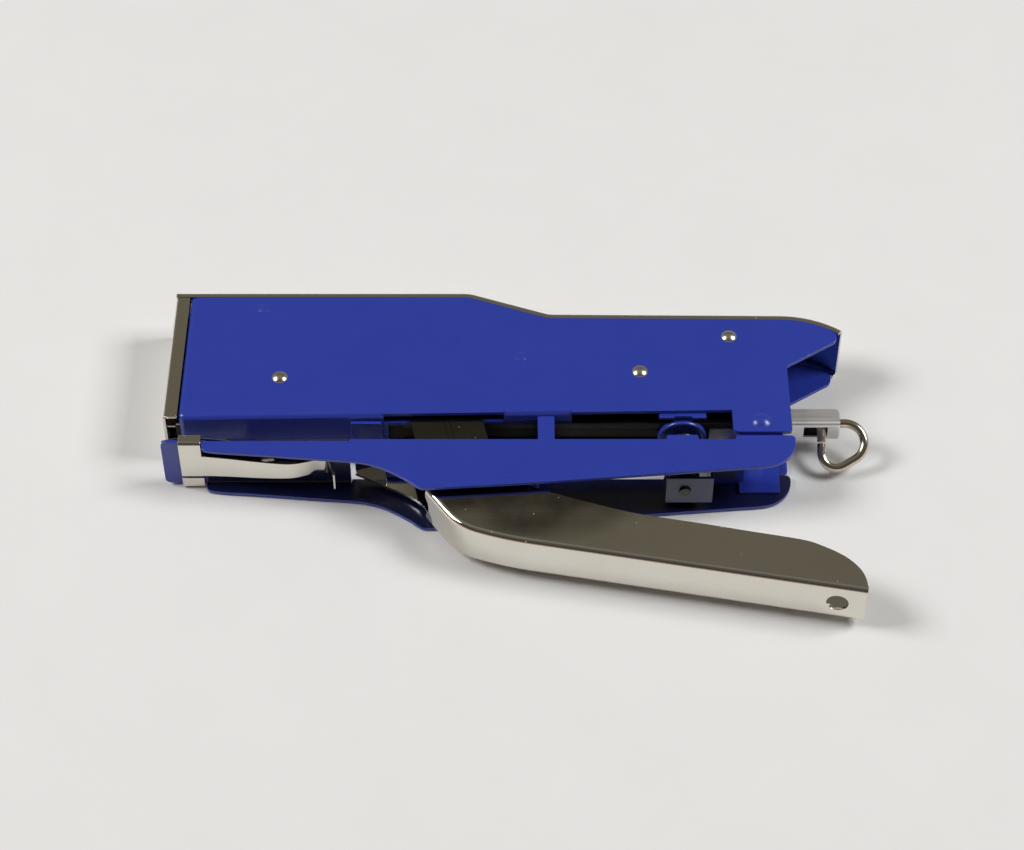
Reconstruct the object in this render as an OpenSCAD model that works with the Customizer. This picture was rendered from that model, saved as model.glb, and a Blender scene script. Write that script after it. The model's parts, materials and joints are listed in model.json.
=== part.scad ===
// Plier stapler lying on its side: two pressed shells, a hinged lower arm with a sliding anvil,
// and a squeeze handle that pulls the driver lever down through a pair of link plates.
// Working frame: x from the front face to the rear, y up from the body's lower front corner,
// v across the width from the middle plane. The finished model is moved so that the middle of
// its box is at the origin and the right shell lies on z = 0.

/* [Body] */
// Half of the width across the two shells
body_half = 7.9; // [7.9:0.1:8.3]
// Sheet thickness of the shells
shell_t = 0.9; // [0.8:0.05:0.95]
// Height of the shells at the front
body_h = 39.2; // [38.5:0.1:40.5]
// Rise of the bottom edge from front to rear, in degrees
bottom_rise = 1.127; // [1.0:0.01:1.15]
// Outer bend radius of the shells
shell_bend = 1.4; // [1.2:0.1:1.5]
// Height of the nickel cover above the shells' top edge
cover_rise = 1.8; // [1.6:0.1:2.0]
// Sheet thickness of the nickel covers
nickel_t = 0.7; // [0.5:0.05:0.7]

/* [Arm] */
// Half of the width across the lower arm
arm_half = 7.6; // [7.55:0.05:7.6]
// Sheet thickness of the lower arm
arm_t = 0.85; // [0.7:0.05:0.85]
// Height of the arm's top face at the nose
arm_top = -6.2; // [-6.3:0.05:-6.2]
// Height of the anvil's top face
anvil_top = -4.6; // [-4.6:0.05:-4.5]

/* [Handle] */
// Half of the width across the handle
handle_half = 5.5; // [5.4:0.05:5.5]
// Sheet thickness of the handle
handle_t = 0.8; // [0.6:0.05:0.8]
// Slope of the grip below the body, in degrees
grip_angle = 10.6; // [10:0.1:11]
// Radius of the lanyard hole in the grip
grip_hole_r = 2.5; // [2:0.1:3]

/* [Staples] */
// Half of the width of the staple rail
rail_half = 2.85; // [2.75:0.05:2.85]
// Height of the rail's lower face
rail_y = 2.5; // [2.45:0.05:2.5]
// Height of the rail
rail_h = 4.8; // [4.6:0.1:4.8]
// Rear end of the rail
rail_end = 158.8; // [157.5:0.1:159]
// Length of the staple strip
strip_len = 49.7; // [20:0.1:49.7]

/* [Pull ring] */
// Wire diameter of the pull ring
ring_wire = 2.2; // [2.0:0.1:2.2]
// Lean of the ring towards the table, in degrees
ring_lean = 33; // [30:1:33]
// Height of the ring across its wire centres
ring_drop = 10.6; // [10.3:0.1:11]

/* [Hidden] */
$fn = 48;

// Colours
blue = [0.13, 0.16, 0.52];
nickel = [0.66, 0.64, 0.57];
steel = [0.62, 0.63, 0.63];
dark_steel = [0.32, 0.33, 0.35];

// Pivots and rivets on the working frame
arm_pivot = [139.7, -0.5];
handle_pivot = [86, -12];
lever_pivot = [111.9, 14.9];
link_top = [63, 15.6];
link_foot = [69, -11.4];
rivet_a = [26.7, 13.0];
rivet_c = [133.6, 26.3];
cover_rivets = [[21.5, 35.7], [83.7, 19.75]];
nickel_rivets = [rivet_a, lever_pivot, rivet_c];
shank_r = 1.3;
running = 0.06;
loose = 0.05;

// Shell outline
shell_front = 3.5;
flange_end = 95.6;
flange_step = 52.6;
flange_inner = 4.3;
foot = [133.0, 146.7, -4.2];
notch = [146.8, 16.5];
tail_tip_r = 2.6;
lap = [43.9, 51.1];
link_slot = [51.6, 79.7];
stop_tab = [87.6, 91.5];
relief = 0.5;
lap_rivet_v = -1.6;

// The nickel cover's outer line: lengths, or [radius, turn] of each bend
cover_start = [0, body_h + cover_rise + 0.1];
cover_line = [[69.9], [8, -20], [18.1], [6, 19.5], [54.6], [25, -36.5]];
shell_top_line = [[69.9], [8, -20], [18.1], [6, 19.5], [54.6], [25, -31]];

// The grip's outer line
grip_start = [61.7, -19.9];
grip_first = -55;
grip_run = 75.5;
grip_line = [[8], [15, 35], [80, 20 - grip_angle], [grip_run]];
grip_bend = 1.2;
grip_hole_from_end = 6.3;

// Lower arm
arm_front = 10.0;
nose_half = 7.2;
nose_front = 0.1;
nose_corner = 1.6;
arm_web_end = 43.8;
arm_bend = 1.2;
arm_lower_line = [[34], [27, -40.2], [2.2, 47.8], [76.2], [5.5, 37.6], [3.6], [5, 48]];

// Anvil clip
strap = [4.3, 9.5];
strap_half = 7.8;
clip_t = 0.5;

// Pull ring: three arcs joined by straight runs that close the loop
ring_r = ring_wire / 2;
ring_x = 154.6;
ring_web_gap = 1.9;
ring_arcs = [[4.6, 150], [3.4, 120], [1.6, 90]];
ring_diag = (ring_drop - ring_arcs[0][0] * (1 + cos(30)) - ring_arcs[1][0] * (1 - cos(30))) / sin(30);
ring_top = ring_diag * cos(30) - ring_arcs[0][0] * sin(30) + ring_arcs[1][0] * (1 + sin(30))
    - ring_arcs[2][0];
ring_side = ring_arcs[0][0] * (1 + cos(30)) + ring_diag * sin(30) - ring_arcs[1][0] * cos(30)
    - ring_arcs[2][0];
ring_right = ring_x + ring_arcs[2][0] + ring_top + ring_arcs[0][0] + ring_r;

// The middle of the model's box
grip_end = line_end(grip_line, grip_start, grip_first);
box_mid = [ring_right / 2, (cover_start[1] + grip_end[1]) / 2];

// ---- Lines made of straight runs and bends ----

// End of one run or bend: [point, heading]
function run_end(seg, at, head) =
    len(seg) == 1 ? [at + seg[0] * [cos(head), sin(head)], head]
    : let (s = sign(seg[1]), mid = at + seg[0] * s * [-sin(head), cos(head)], h = head + seg[1])
      [s == 0 ? at : mid + seg[0] * s * [sin(h), -cos(h)], h];

// End point of a whole line
function line_end(line, at, head, i = 0) =
    i == len(line) ? at
    : let (e = run_end(line[i], at, head)) line_end(line, e[0], e[1], i + 1);

// Points along a line, moved sideways by off (positive to the left)
function line_pts(line, off, at, head, i = 0) =
    i == len(line) ? [at + off * [-sin(head), cos(head)]]
    : let (seg = line[i], n = len(seg) == 1 ? 1 : ceil(abs(seg[1]) / 5), e = run_end(seg, at, head))
      concat(
          [for (k = [0:n - 1])
              let (p = k == 0 ? [at, head] : run_end([seg[0], seg[1] * k / n], at, head))
              p[0] + off * [-sin(p[1]), cos(p[1])]],
          line_pts(line, off, e[0], e[1], i + 1));

function arc(c, r, a0, a1, n = 10) =
    [for (i = [0:n]) let (a = a0 + (a1 - a0) * i / n) c + r * [cos(a), sin(a)]];
function reversed(p) = [for (i = [len(p) - 1:-1:0]) p[i]];
function bottom_at(x) = (x - shell_front) * tan(bottom_rise);

// Points of a bent channel's section: outer face first, then back along the inner face
function channel_pts(w, t, r, h) =
    let (q = max(r - t, 0.15), n = 5)
    concat(
        [[h, w]],
        [for (k = [0:n]) [r - r * sin(90 * k / n), w - r + r * cos(90 * k / n)]],
        [for (k = [0:n]) [r - r * cos(90 * k / n), -(w - r) - r * sin(90 * k / n)]],
        [[h, -w], [h, t - w]],
        [for (k = [0:n]) [t + q - q * sin(90 * k / n), -(w - t - q) - q * cos(90 * k / n)]],
        [for (k = [0:n]) [t + q - q * cos(90 * k / n), w - t - q + q * sin(90 * k / n)]],
        [[h, w - t]]
    );

// A channel bent along a curved line; side is 1 with its inside to the left of the line, -1 to the right
module bent_channel(line, at, head, side, w, t, r, h) {
    section = channel_pts(w, t, r, h);
    m = len(section);
    rings = [for (q = section) line_pts(line, side * q[0], at, head)];
    n = len(rings[0]);
    pts = [for (j = [0:n - 1], i = [0:m - 1]) [rings[i][j][0], rings[i][j][1], section[i][1]]];
    quads = [for (j = [0:n - 2], i = [0:m - 1])
        let (k = (i + 1) % m) [j * m + i, j * m + k, (j + 1) * m + k, (j + 1) * m + i]];
    last = (n - 1) * m;
    near_end = [for (i = [0:m / 2 - 2]) [m - 1 - i, m - 2 - i, i + 1, i]];
    far_end = [for (i = [0:m / 2 - 2]) [last + i, last + i + 1, last + m - 2 - i, last + m - 1 - i]];
    faces = concat(quads, near_end, far_end);
    polyhedron(pts, [for (f = faces) side < 0 ? f : reversed(f)], convexity = 6);
}

// A section pulled straight from a point: its first axis points left of the heading, its second is v
module straight(at, head, run) {
    translate([at[0], at[1], 0]) rotate([0, 0, head]) rotate([90, 0, 90]) linear_extrude(run) children();
}

// A round wire bent along a closed line in its own plane
module closed_wire(line, r, sides = 12) {
    turns = [for (i = [0:sides - 1]) [r * cos(360 * i / sides), r * sin(360 * i / sides)]];
    rings = [for (q = turns) line_pts(line, q[0], [0, 0], 0)];
    n = len(rings[0]) - 1;
    pts = [for (j = [0:n - 1], i = [0:sides - 1]) [rings[i][j][0], rings[i][j][1], turns[i][1]]];
    quads = [for (j = [0:n - 1], i = [0:sides - 1])
        let (k = (i + 1) % sides, m = (j + 1) % n)
        [j * sides + i, j * sides + k, m * sides + k, m * sides + i]];
    polyhedron(pts, quads, convexity = 6);
}

// ---- Small shapes ----

// A block with two rounded corners on its outer face
module rounded_block(w, r, h) {
    translate([r, -w]) square([h - r, 2 * w]);
    translate([0, r - w]) square([h, 2 * (w - r)]);
    for (s = [-1, 1]) translate([r, s * (w - r)]) circle(r);
}

// Section of a bent channel: half-width w, sheet t, outer bend radius r, depth h
module channel(w, t, r, h) {
    difference() {
        rounded_block(w, r, h);
        translate([t, 0]) rounded_block(w - t, max(r - t, 0.15), h);
    }
}

// Sheet cut to an outline, from v = a to v = b
module sheet(a, b) {
    translate([0, 0, a]) linear_extrude(b - a) children();
}

module both_sides() {
    children();
    mirror([0, 0, 1]) children();
}

module box(lo, hi) {
    translate(lo) cube(hi - lo);
}

// A pin across the width
module cross_pin(at, r, a, b) {
    translate([at[0], at[1], a]) cylinder(r = r, h = b - a);
}

// A tube across the width
module cross_tube(at, r_out, r_in, a, b) {
    difference() {
        cross_pin(at, r_out, a, b);
        cross_pin(at, r_in, a - 1, b + 1);
    }
}

// A low domed head of radius r and height h, standing on v = a
module dome(at, r, h, a) {
    ball = (r * r + h * h) / (2 * h);
    translate([at[0], at[1], a]) intersection() {
        translate([0, 0, h - ball]) sphere(ball);
        cylinder(r = r + 1, h = h + 1);
    }
}

module place() {
    translate([-box_mid[0], -box_mid[1], body_half]) children();
}

// ---- Body ----

module shell_cheek() {
    up = shell_bend + 0.15;
    bend = shell_front + up;
    tail = line_end(shell_top_line, cover_start, 0);
    tip = tail + cover_rise * [-sin(-31.5), cos(-31.5)] * -1;
    tip_mid = tip - tail_tip_r * [sin(31.5), cos(31.5)];
    top = line_pts(shell_top_line, -cover_rise, cover_start, 0);
    difference() {
        polygon(concat(
            [[bend, bottom_at(bend) + up],
             [link_slot[0], bottom_at(link_slot[0]) + up],
             [link_slot[0], bottom_at(link_slot[0]) + 0.3],
             [link_slot[1], bottom_at(link_slot[1]) + 0.3],
             [link_slot[1], bottom_at(link_slot[1]) + up],
             [flange_end, bottom_at(flange_end) + up],
             [flange_end, bottom_at(flange_end)],
             [foot[0], bottom_at(foot[0])]],
            arc([foot[0] + 1.5, foot[2] + 1.5], 1.5, 180, 270, 5),
            arc([foot[1] - 2, foot[2] + 2], 2, -90, 0, 5),
            [notch],
            arc(tip_mid, tail_tip_r, -57, 58.5, 12),
            [for (i = [len(top) - 2:-1:1]) top[i]],
            [[bend, top[0][1]]]
        ));
        for (p = concat(nickel_rivets, [arm_pivot])) translate(p) circle(shank_r + loose);
        for (p = cover_rivets) translate(p) circle(0.9 + loose);
    }
}

module side_shell(lap_tab) {
    head = bottom_rise;
    start = shell_front + shell_bend + 0.2;
    run = flange_end + 3 - start;
    difference() {
        union() {
            sheet(body_half - shell_t, body_half) shell_cheek();
            difference() {
                straight([start, bottom_at(start)], head, run)
                    channel(body_half, shell_t, shell_bend, shell_bend + 0.3);
                box([0, -5, -20], [200, 20, 0.03]);
                box([flange_step, -5, -1], [flange_end + 9, 20, flange_inner]);
                box([link_slot[0] - relief, -5, 5.2], [link_slot[1] + relief, 8, body_half + 1]);
                box([flange_end - relief, -5, -1], [flange_end + 9, 20, body_half + 1]);
            }
            difference() {
                straight([shell_front, shell_bend + 0.4], 90, body_h - shell_bend - 0.5)
                    mirror([1, 0]) channel(body_half, shell_t, shell_bend, shell_bend + 0.3);
                box([0, -5, -20], [20, 60, 5.9]);
            }
            box([stop_tab[0], -7.5, 5.85], [stop_tab[1], bottom_at(stop_tab[1]) + 0.5, 6.6]);
            if (lap_tab) {
                box([lap[0], bottom_at(lap[0]) - 1, -4.2], [lap[1], bottom_at(lap[0]) - 0.08, 1.4]);
                box([lap[0], bottom_at(lap[0]) - 1, 0.5], [lap[1], bottom_at(lap[0]) + 0.5, 1.4]);
            }
        }
        if (lap_tab) lap_hole();
    }
}

module lap_hole() {
    translate([(lap[0] + lap[1]) / 2, 6, lap_rivet_v]) rotate([90, 0, 0]) cylinder(r = 0.85, h = 12);
}

module left_side_shell() {
    color(blue) place() side_shell(true);
}

module right_side_shell() {
    color(blue) place() difference() {
        mirror([0, 0, 1]) side_shell(false);
        lap_hole();
    }
}

module top_cover() {
    inner = body_half - shell_t - 0.05;
    color(nickel) place() {
        bent_channel(cover_line, cover_start, 0, -1, body_half, nickel_t, 1, cover_rise);
        both_sides() difference() {
            sheet(inner - nickel_t, inner) {
                translate([16, 33]) square([11, cover_start[1] - 33.3]);
                polygon([[79.5, 16.4], [88, 16.4], [88, 34.8], [79.5, 37.8]]);
                translate([128, 23]) square([11, 10.6]);
            }
            for (p = cover_rivets) cross_pin(p, 0.9 + loose, 5, 9);
            cross_pin(rivet_c, shank_r + loose, 5, 9);
        }
    }
}

module front_plate() {
    color(nickel) place()
        straight([0, 0.4], 90, body_h - 0.4)
            mirror([1, 0]) channel(body_half, nickel_t, 1, 3.4);
}

module blade_guide() {
    color(steel) place() {
        box([2.2, 21.6, -4], [2.75, 36, 4]);
        both_sides() box([0.78, 1.0, 3.55], [2.75, 36, 4]);
    }
}

module driver_blade() {
    color(steel) place() difference() {
        box([1.3, 8.3, -3.3], [1.9, 33, 3.3]);
        box([0, 17.4, -1.9], [4, 21.0, 1.9]);
    }
}

module driver_lever() {
    color(dark_steel) place() sheet(-1.5, 1.5) difference() {
        union() {
            polygon(concat(
                [[1, 17.8], [22.5, 17.8], [24, 21.7], [30, 21.7], [33, 18], [52, 13.6], [57, 12.8]],
                arc(link_top, 3.1, -110, -80, 4),
                [[108, 11.4]],
                arc(lever_pivot, 4.2, -90, 90, 14),
                [[63, 23], [40, 27.2], [24, 26.5], [8, 22.6], [1, 20.6]]
            ));
        }
        translate(lever_pivot) circle(shank_r + running);
        translate(link_top) circle(1.4 + running);
    }
}

module driver_return_spring() {
    color(dark_steel) place() {
        cross_tube(lever_pivot, 2.6, 1.5, 1.7, 4.6);
        translate([lever_pivot[0] - 2.2, lever_pivot[1], 4.2]) rotate([90, 0, -25])
            translate([0, 0, -0.5]) cylinder(r = 0.4, h = 5);
        translate([lever_pivot[0], lever_pivot[1] + 2.1, 2.4]) rotate([0, -90, 0])
            cylinder(r = 0.4, h = 16);
    }
}

// ---- Staple feed ----

module staple_magazine() {
    color(steel) place() {
        straight([2.9, 8.5], 0, 143.1)
            mirror([1, 0]) channel(3.95, 0.45, 0.7, 6.5);
        both_sides() box([56, 1.75, 2.3], [146, 2.15, 3.95]);
    }
}

module staple_strip() {
    color(steel) place() straight([2.3, 7.85], 0, strip_len)
        mirror([1, 0]) channel(3.4, 0.45, 0.5, 5.65);
}

module staple_rail() {
    top = rail_y + rail_h;
    slot = [150.4, 156.0];
    color(steel) place() difference() {
        straight([2.4, rail_y], 0, rail_end - 2.4) channel(rail_half, 0.6, 0.9, rail_h);
        box([slot[0], rail_y - 1, -1.7], [slot[1], rail_y + 1, 1.7]);
        translate([rail_end - 1.2, top - 1.2, -5]) difference() {
            cube([2, 2, 10]);
            translate([0, 0, -1]) cylinder(r = 1.2, h = 12);
        }
    }
}

module pull_ring() {
    a = ring_arcs;
    color(nickel) place() translate([ring_x + a[2][0], rail_y + 0.3, 0]) rotate([ring_lean, 0, 0])
        translate([0, ring_web_gap, 0])
            closed_wire([[ring_top], [a[0][0], -a[0][1]], [ring_diag], [a[1][0], -a[1][1]],
                         [ring_side], [a[2][0], -a[2][1]]], ring_r);
}

module staple_pusher() {
    back = 2.6 + strip_len;
    color(steel) place() {
        straight([back, 7.9], 0, 11.4) mirror([1, 0]) channel(3.4, 0.45, 0.6, 5.3);
        difference() {
            box([back + 7.4, 3.4, -1.9], [back + 11.4, 7.6, 1.9]);
            translate([back, 5.3, 0]) rotate([0, 90, 0]) cylinder(r = 0.85, h = 20);
        }
    }
}

module pusher_spring() {
    back = 2.6 + strip_len + 11.5;
    color(dark_steel) place() translate([back, 5.3, 0]) rotate([0, 90, 0]) difference() {
        cylinder(r = 1.75, h = 147.9 - back);
        translate([0, 0, -1]) cylinder(r = 0.95, h = 200);
    }
}

module pusher_rod() {
    color(steel) place() {
        translate([12, 5.3, 0]) rotate([0, 90, 0]) cylinder(r = 0.7, h = 137);
        box([148, 3.2, -2.1], [150.2, 7.2, 2.1]);
    }
}

module rail_catch() {
    color(steel) place() box([128, 1.75, -2.1], [146, 2.15, 2.1]);
}

// ---- Fasteners ----

module body_rivets() {
    color(nickel) place() for (p = nickel_rivets) {
        cross_pin(p, shank_r, -body_half, body_half + 0.05);
        dome(p, 1.9, 0.9, body_half);
    }
}

module painted_rivets() {
    color(blue) place() for (p = cover_rivets) {
        dome(p, 1.6, 0.2, body_half);
        cross_pin(p, 0.9, 6.1, body_half + 0.05);
        cross_pin(p, 0.9, -body_half, -6.1);
    }
}

module pivot_rivet() {
    color(blue) place() {
        cross_pin(arm_pivot, shank_r, -body_half, body_half + 0.05);
        dome(arm_pivot, 2.2, 0.9, body_half);
    }
}

module lap_rivet() {
    y = bottom_at(lap[0]);
    color(nickel) place() translate([(lap[0] + lap[1]) / 2, y - 1, lap_rivet_v]) rotate([90, 0, 0]) {
        dome([0, 0], 1.6, 0.7, 0);
        translate([0, 0, -2.1]) cylinder(r = 0.8, h = 2.2);
    }
}

module rivet_spacers() {
    inside = body_half - shell_t - 0.03;
    color(steel) place() {
        cross_tube(rivet_a, 1.9, shank_r + loose, -inside, inside);
        cross_tube(rivet_c, 2.3, shank_r + loose, 0.75 - inside, inside - 0.75);
        cross_tube(lever_pivot, 2.3, shank_r + loose, -inside, -1.6);
        cross_tube(lever_pivot, 2.3, shank_r + loose, 4.8, inside);
    }
}

// ---- Main spring ----

spring_x = 121.6;

module upright(y0, y1, r) {
    translate([spring_x, y0, 0]) rotate([-90, 0, 0]) cylinder(r = r, h = y1 - y0);
}

module spring_cup() {
    inside = body_half - shell_t - 0.05;
    color(blue) place() {
        difference() {
            upright(0.2, 1.5, 5.6);
            upright(-1, 0.9, 4.9);
        }
        box([115.5, 0.9, -inside], [127.5, 1.5, inside]);
        both_sides() box([115.5, 0.9, inside - 0.7], [127.5, 7, inside]);
    }
}

module main_spring() {
    color(dark_steel) place() difference() {
        upright(-14.75, 0.1, 3.7);
        upright(-16, 1, 2.5);
    }
}

module spring_guide_pin() {
    color(dark_steel) place() {
        upright(-16.1, -4, 1.3);
        upright(-14.7, -14.2, 2.2);
    }
}

// ---- Lower arm ----

module arm_cheek() {
    lower = line_pts(arm_lower_line, 0, [arm_front + 1, -10.505], -3.2);
    rear = lower[len(lower) - 1];
    rear_top = arm_top + 0.15;
    step_top = arm_top + 1.2;
    difference() {
        polygon(concat(
            lower,
            [[rear[0], rear_top - 0.4], [rear[0] - 0.4, rear_top], [foot[1] - 3.5, rear_top],
             [foot[1] - 3.5, step_top], [foot[0] + 0.6, step_top], [foot[0] + 0.3, arm_top],
             [124.9, arm_top], [124.6, arm_top + 1.3], [117.6, arm_top + 1.3], [117.3, arm_top],
             [arm_web_end, arm_top], [arm_web_end, arm_top - arm_bend],
             [arm_front + 1, arm_top - arm_bend], [arm_front, arm_top - arm_bend - 0.8],
             [arm_front, -9.6]]
        ));
        translate(handle_pivot) circle(1.75 + loose);
    }
}

module lower_arm() {
    inner = arm_half - arm_t;
    color(blue) place() {
        both_sides() {
            sheet(inner, arm_half) arm_cheek();
            sheet(inner - 0.8, inner) difference() {
                union() {
                    translate(arm_pivot) circle(5.2);
                    translate([arm_pivot[0] - 4.9, -9.5]) square([9.8, 9]);
                }
                translate(arm_pivot) circle(shank_r + running);
            }
            sheet(inner - 0.8, inner + 0.4) polygon([[134, -11], [143.5, -11], [143.5, -7.4], [134, -7.4]]);
        }
        straight([arm_front, arm_top], 0, arm_web_end - arm_front)
            mirror([1, 0]) channel(arm_half, arm_t, arm_bend, arm_bend + 0.4);
        translate([nose_front, arm_top, 0]) rotate([90, 0, 0]) linear_extrude(arm_t)
            rounded_block(nose_half, nose_corner, arm_front - nose_front + 0.8);
        box([128.2, -7.7, -inner - 0.1], [136, -6.95, inner + 0.1]);
    }
}

module spring_seat() {
    color(blue) place() difference() {
        union() {
            box([117.2, -15.5, -4.3], [128.1, -14.8, 4.3]);
            box([127.4, -15.5, -4.3], [128.1, -7.75, 4.3]);
            box([127.4, -8.45, -4.3], [134, -7.75, 4.3]);
        }
        upright(-17, -14, 1.3 + loose);
    }
}

module detent_tab() {
    y = arm_top - arm_t - 0.03;
    color(nickel) place() {
        box([22.8, y - 0.5, -2.2], [26.3, y, 2.2]);
        box([22.8, y - 1.3, -2.2], [23.3, y, 2.2]);
    }
}

module anvil_clip() {
    top = anvil_top;
    low = top - 3.5;
    leaf = [[strap[1] - 0.4, low + 0.25], [16.6, -8.55], [29.6, -9.65], [36.9, -8.0], [38.3, -7.75],
            [39.2, -8.6], [40.3, -12.9]];
    color(nickel) place() {
        difference() {
            union() {
                sheet(-6.2, 6.2) polygon([
                    [nose_front, top - 0.8], [strap[0], top], [strap[1], top], [18.6, top - 0.85],
                    [18.6, top - 0.85 - clip_t], [strap[1], top - clip_t],
                    [strap[0], top - clip_t], [nose_front, top - 0.8 - clip_t]
                ]);
                difference() {
                    strap_block(0, strap_half, 0.8);
                    strap_block(clip_t, strap_half - clip_t, 0.3);
                    box([0, low - 1, -4.2], [20, low + 0.7, -3.6]);
                }
            }
            for (x = [1.45, 5.65], v = [-1.9, 1.9])
                translate([x, top + (x < 4 ? 0.06 : 0.6), v - 1.4]) cylinder(r = 0.8, h = 2.8);
        }
        intersection() {
            for (i = [0:len(leaf) - 2]) leaf_run(leaf[i], leaf[i + 1], i < len(leaf) - 2);
            rotate([-90, 0, 0]) translate([0, 0, -20]) linear_extrude(20)
                polygon([[8.4, -3.5], [8.4, 3.5], [42, 2.2], [42, -2.2]]);
        }
    }
}

module strap_block(in, w, r) {
    d = [strap[0] - (in > 0 ? 1 : 0), strap[1] + (in > 0 ? 1 : 0)];
    translate([d[0], anvil_top - in, 0]) rotate([90, 0, 90]) linear_extrude(d[1] - d[0]) {
        depth = 3.5 - 2 * in;
        translate([-depth, r - w]) square([depth, 2 * (w - r)]);
        translate([r - depth, -w]) square([depth - 2 * r, 2 * w]);
        for (s = [-1, 1], t = [r, depth - r]) translate([-t, s * (w - r)]) circle(r);
    }
}

// One straight run of the leaf; a round end joins it smoothly to the next one
module leaf_run(a, b, round_end) {
    d = b - a;
    translate([a[0], a[1], -4]) {
        rotate([0, 0, atan2(d[1], d[0])]) translate([0, -clip_t / 2, 0]) cube([norm(d), clip_t, 8]);
        if (round_end) translate([d[0], d[1], 0]) cylinder(r = clip_t / 2, h = 8);
    }
}

// ---- Handle and links ----

module handle() {
    inner = handle_half - handle_t;
    lower = line_pts(grip_line, grip_bend + 0.05, grip_start, grip_first);
    upper = line_pts([[60.6], [12.6, -70]], 0, [92.5, -20.7], -15.8);
    color(nickel) place() {
        both_sides() sheet(inner, handle_half) difference() {
            polygon(concat(
                lower,
                reversed(upper),
                arc(handle_pivot, 4.4, -20, 95, 12),
                [[72, -7.9], [58, -6.3], [44.8, -5.0], [44.8, -6.2], [47.4, -7.5], [52.7, -10.4],
                 [56.8, -12.0], [61.3, -13.0]]
            ));
            translate(handle_pivot) circle(1.75 + running);
            translate(link_foot) circle(1.75);
        }
        sheet(-handle_half, handle_half) polygon([[44.8, -5.0], [52, -5.62], [52, -6.42], [44.8, -5.8]]);
        difference() {
            bent_channel(grip_line, grip_start, grip_first, 1, handle_half, handle_t, grip_bend, grip_bend + 1);
            translate([grip_end[0], grip_end[1], 0]) rotate([0, 0, -grip_angle])
                translate([-grip_hole_from_end, -3, 0]) rotate([-90, 0, 0])
                    cylinder(r = grip_hole_r, h = 6);
            translate([grip_start[0], grip_start[1], 0]) rotate([0, 0, grip_first])
                translate([-3.0, -2, 0]) rotate([-90, 0, 0]) cylinder(r = 4.2, h = 2.9);
        }
    }
}

module handle_pin() {
    color(blue) place() cross_pin(handle_pivot, 1.75, -arm_half, arm_half);
}

module link_plates() {
    lean = atan2(link_top[0] - link_foot[0], link_top[1] - link_foot[1]);
    run = norm(link_top - link_foot);
    color(nickel) place() both_sides() sheet(5.65, 6.35) difference() {
        translate(link_foot) rotate(-lean) difference() {
            union() {
                translate([-8.3, -3.6]) square([16.6, run + 7.6]);
            }
            for (s = [-1, 1]) translate([s * 8.3, run + 4]) rotate(45) square(3, center = true);
            for (s = [-1, 1]) translate([s * 8.3, -3.6]) rotate(45) square(3, center = true);
        }
        translate(link_top) circle(1.4 + loose);
        translate(link_foot) circle(1.4 + loose);
    }
}

module link_pins() {
    color(steel) place() for (p = [link_top, link_foot]) cross_pin(p, 1.4, -6.5, 6.5);
}

left_side_shell();
right_side_shell();
top_cover();
front_plate();
blade_guide();
driver_blade();
driver_lever();
driver_return_spring();
staple_magazine();
staple_strip();
staple_rail();
pull_ring();
staple_pusher();
pusher_spring();
pusher_rod();
rail_catch();
body_rivets();
painted_rivets();
pivot_rivet();
lap_rivet();
rivet_spacers();
spring_cup();
main_spring();
spring_guide_pin();
lower_arm();
spring_seat();
anvil_clip();
detent_tab();
handle();
handle_pin();
link_plates();
link_pins();
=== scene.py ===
import json
import math

import bmesh
import bpy
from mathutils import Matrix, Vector


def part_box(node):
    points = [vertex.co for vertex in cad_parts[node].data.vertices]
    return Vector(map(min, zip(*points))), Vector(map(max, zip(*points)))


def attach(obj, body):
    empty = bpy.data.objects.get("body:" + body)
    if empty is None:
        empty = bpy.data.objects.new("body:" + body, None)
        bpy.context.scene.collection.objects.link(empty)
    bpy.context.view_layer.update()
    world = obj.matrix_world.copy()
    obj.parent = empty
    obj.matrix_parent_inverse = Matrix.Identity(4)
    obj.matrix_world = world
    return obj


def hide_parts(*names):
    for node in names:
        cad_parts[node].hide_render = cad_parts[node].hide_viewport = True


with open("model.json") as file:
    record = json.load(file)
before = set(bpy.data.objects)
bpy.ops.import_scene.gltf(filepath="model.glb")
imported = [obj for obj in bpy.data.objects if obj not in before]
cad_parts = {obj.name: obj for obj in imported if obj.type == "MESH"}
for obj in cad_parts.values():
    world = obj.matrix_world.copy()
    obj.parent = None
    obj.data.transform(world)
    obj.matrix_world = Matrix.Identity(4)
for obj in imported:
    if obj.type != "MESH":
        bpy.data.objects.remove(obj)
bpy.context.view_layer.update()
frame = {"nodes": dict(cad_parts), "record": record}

scene = bpy.context.scene
nodes = frame["nodes"]

# ---- The working frame: mm from the body's lower front corner, v across the width ----

X0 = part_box("front_plate")[0].x
Y_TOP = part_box("top_cover")[1].y
COVER_Y = 41.1
HALF_WIDTH = 7.9
HANDLE_PIVOT = (86, -12)
ARM_PIVOT = (139.7, -0.5)
SPRING_X = 121.6
NEAR_AXIS = 0.02  # turned shapes start this far from their axis


def place(x, y, v):
    """A working-frame point in mm as a point of the shared frame in metres."""
    return Vector((X0 + x / 1000, Y_TOP + (y - COVER_Y) / 1000, (v + HALF_WIDTH) / 1000))


# ---- Camera ----

cam_data = bpy.data.cameras.new("camera")
cam_data.lens = 89.7
cam_data.sensor_width = 36.0
cam = bpy.data.objects.new("camera", cam_data)
scene.collection.objects.link(cam)
cam.location = place(81.602, -395.196, 451.9)
aim = place(81.602, -2.196, 7.9) - cam.location
cam.rotation_mode = "QUATERNION"
cam.rotation_quaternion = aim.to_track_quat("-Z", "Y")
cam_data.clip_start = 0.01
cam_data.clip_end = 50.0
scene.camera = cam

# ---- Node helpers ----


def node(tree, kind, links=None, **settings):
    """Adds a node; links maps an input to a value or an output socket."""
    n = tree.nodes.new(kind)
    for name, value in settings.items():
        setattr(n, name, value)
    for key, value in (links or {}).items():
        connect(tree, n.inputs[key], value)
    return n


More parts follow.
